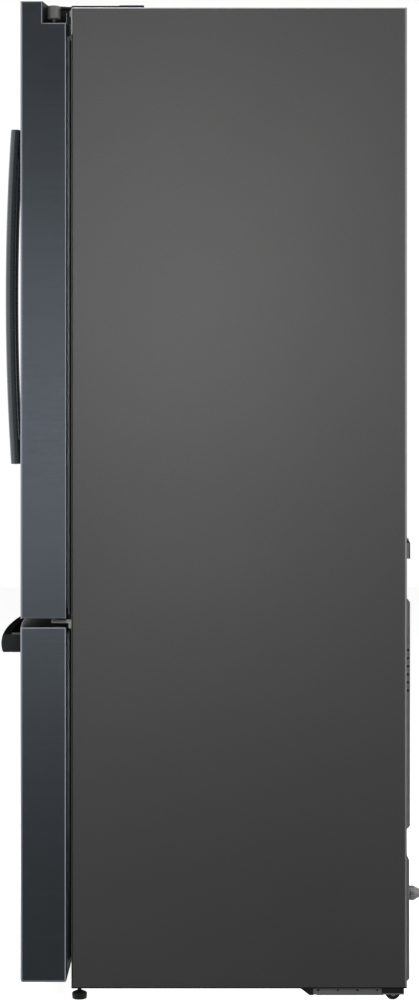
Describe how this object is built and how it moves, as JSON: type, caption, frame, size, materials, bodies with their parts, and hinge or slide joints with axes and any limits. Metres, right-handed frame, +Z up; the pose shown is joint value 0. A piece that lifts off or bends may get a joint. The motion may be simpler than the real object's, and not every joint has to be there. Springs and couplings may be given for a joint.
{
  "type": "french door refrigerator",
  "caption": "Upright refrigerator with side-hinged upper doors, bowed steel fronts, bar handles, shelves, crisper drawers and a pull-out bottom freezer drawer.",
  "frame": {"origin": "on the floor under the middle of the whole object's box, handles and water inlet included", "axes": "+X to the right as seen from the front, +Y to the back, +Z up"},
  "size_m": [0.905, 0.8034, 1.829],
  "materials": {
    "dark_steel": "dark tinted stainless with a fine horizontal grain",
    "cabinet_paint": "satin grey paint with a fine texture",
    "zinc_steel": "zinc-plated steel",
    "rear_sheet": "galvanised sheet",
    "black_plastic": "moulded, fine texture",
    "liner_plastic": "vacuum-formed, soft gloss",
    "clear_plastic": "clear, polished",
    "shelf_glass": "tempered glass",
    "gasket": "soft grey vinyl",
    "foam": "rigid foam",
    "compressor_black": "semi-gloss black enamel",
    "condenser_metal": "plain aluminium",
    "nickel": "nickel plate",
    "light_lens": "frosted",
    "hinge_steel": "dark grey enamel",
    "handle_steel": "black-tinted stainless, satin",
    "trim_grey": "moulded, fine texture"
  },
  "bodies": {
    "cabinet": {"cabinet_wrapper": "cabinet_paint", "back_panel": "rear_sheet", "base_frame": "zinc_steel", "mid_rail": "cabinet_paint", "fridge_liner": "liner_plastic", "freezer_liner": "liner_plastic", "cabinet_foam": "foam", "air_duct_cover": "liner_plastic", "evaporator_cover": "liner_plastic", "compressor": "compressor_black", "condenser": "condenser_metal", "drain_pan": "black_plastic", "rear_cover_upper": "rear_sheet", "rear_cover_lower": "rear_sheet", "line_guide": "black_plastic", "water_inlet": "nickel", "cord_inlet": "black_plastic", "top_hinges": "hinge_steel", "hinge_covers": "black_plastic", "mid_hinges": "zinc_steel", "roller_brackets": "zinc_steel", "shelf_glass": "shelf_glass", "shelf_frames": "liner_plastic", "crisper_cover": "liner_plastic", "crisper_guides": "liner_plastic", "ceiling_light": "light_lens", "slide_outer": "zinc_steel"},
    "condenser_fan": {"condenser_fan": "black_plastic"},
    "roller_right": {"roller_right": "black_plastic"},
    "roller_left": {"roller_left": "black_plastic"},
    "foot_right": {"foot_right": "black_plastic"},
    "foot_left": {"foot_left": "black_plastic"},
    "humidity_slider_right": {"humidity_slider_right": "trim_grey"},
    "humidity_slider_left": {"humidity_slider_left": "trim_grey"},
    "crisper_right": {"crisper_right": "clear_plastic"},
    "crisper_left": {"crisper_left": "clear_plastic"},
    "right_door": {"right_door_skin": "dark_steel", "right_door_liner": "liner_plastic", "right_door_gasket": "gasket", "right_door_caps": "black_plastic", "right_door_bins": "clear_plastic", "right_door_handle": "handle_steel", "right_handle_mounts": "handle_steel"},
    "left_door": {"left_door_skin": "dark_steel", "left_door_liner": "liner_plastic", "left_door_gasket": "gasket", "left_door_caps": "black_plastic", "left_door_bins": "clear_plastic", "left_door_handle": "handle_steel", "left_handle_mounts": "handle_steel"},
    "mullion_flap": {"mullion_flap": "trim_grey"},
    "freezer_drawer": {"freezer_front_skin": "dark_steel", "freezer_front_liner": "liner_plastic", "freezer_gasket": "gasket", "freezer_handle": "handle_steel", "freezer_handle_mounts": "handle_steel", "freezer_basket": "liner_plastic", "slide_inner": "zinc_steel"},
    "freezer_tray": {"freezer_tray": "clear_plastic"},
    "slide_middle": {"slide_middle": "zinc_steel"}
  },
  "joints": [
    {"name": "right_door_swing", "type": "hinge", "parent": "cabinet", "child": "right_door", "pos_m": [0.4305, -0.27625, 1.264], "axis": [0, 0, 1], "range_deg": [0, 110]},
    {"name": "left_door_swing", "type": "hinge", "parent": "cabinet", "child": "left_door", "pos_m": [-0.4305, -0.27625, 1.264], "axis": [0, 0, -1], "range_deg": [0, 110]},
    {"name": "mullion_fold", "type": "hinge", "parent": "left_door", "child": "mullion_flap", "pos_m": [-0.036, -0.23225, 1.237], "axis": [0, 0, 1], "range_deg": [0, 83]},
    {"name": "freezer_slide", "type": "slide", "parent": "cabinet", "child": "freezer_drawer", "axis": [0, -1, 0], "range_m": [0, 0.42]},
    {"name": "middle_rail_slide", "type": "slide", "parent": "cabinet", "child": "slide_middle", "axis": [0, -1, 0], "range_m": [0, 0.21]},
    {"name": "freezer_tray_slide", "type": "slide", "parent": "freezer_drawer", "child": "freezer_tray", "axis": [0, 1, 0], "range_m": [0, 0.1]},
    {"name": "crisper_right_slide", "type": "slide", "parent": "cabinet", "child": "crisper_right", "axis": [0, -1, 0], "range_m": [0, 0.105]},
    {"name": "crisper_left_slide", "type": "slide", "parent": "cabinet", "child": "crisper_left", "axis": [0, -1, 0], "range_m": [0, 0.105]},
    {"name": "humidity_right_slide", "type": "slide", "parent": "cabinet", "child": "humidity_slider_right", "axis": [1, 0, 0], "range_m": [0, 0.04]},
    {"name": "humidity_left_slide", "type": "slide", "parent": "cabinet", "child": "humidity_slider_left", "axis": [-1, 0, 0], "range_m": [0, 0.04]},
    {"name": "condenser_fan_spin", "type": "hinge", "parent": "cabinet", "child": "condenser_fan", "pos_m": [-0.074, 0.26675, 0.13], "axis": [1, 0, 0], "continuous": true},
    {"name": "roller_right_spin", "type": "hinge", "parent": "cabinet", "child": "roller_right", "pos_m": [0.437, 0.34575, 0.014], "axis": [1, 0, 0], "continuous": true},
    {"name": "roller_left_spin", "type": "hinge", "parent": "cabinet", "child": "roller_left", "pos_m": [-0.437, 0.34575, 0.014], "axis": [1, 0, 0], "continuous": true},
    {"name": "foot_right_turn", "type": "hinge", "parent": "cabinet", "child": "foot_right", "pos_m": [0.4305, -0.22925, 0.007], "axis": [0, 0, 1], "continuous": true},
    {"name": "foot_left_turn", "type": "hinge", "parent": "cabinet", "child": "foot_left", "pos_m": [-0.4305, -0.22925, 0.007], "axis": [0, 0, 1], "continuous": true}
  ],
  "couplings": [
    {"joint": "middle_rail_slide", "follows": "freezer_slide", "ratio": 0.5},
    {"joint": "mullion_fold", "follows": "left_door_swing", "ratio": 0.75}
  ]
}
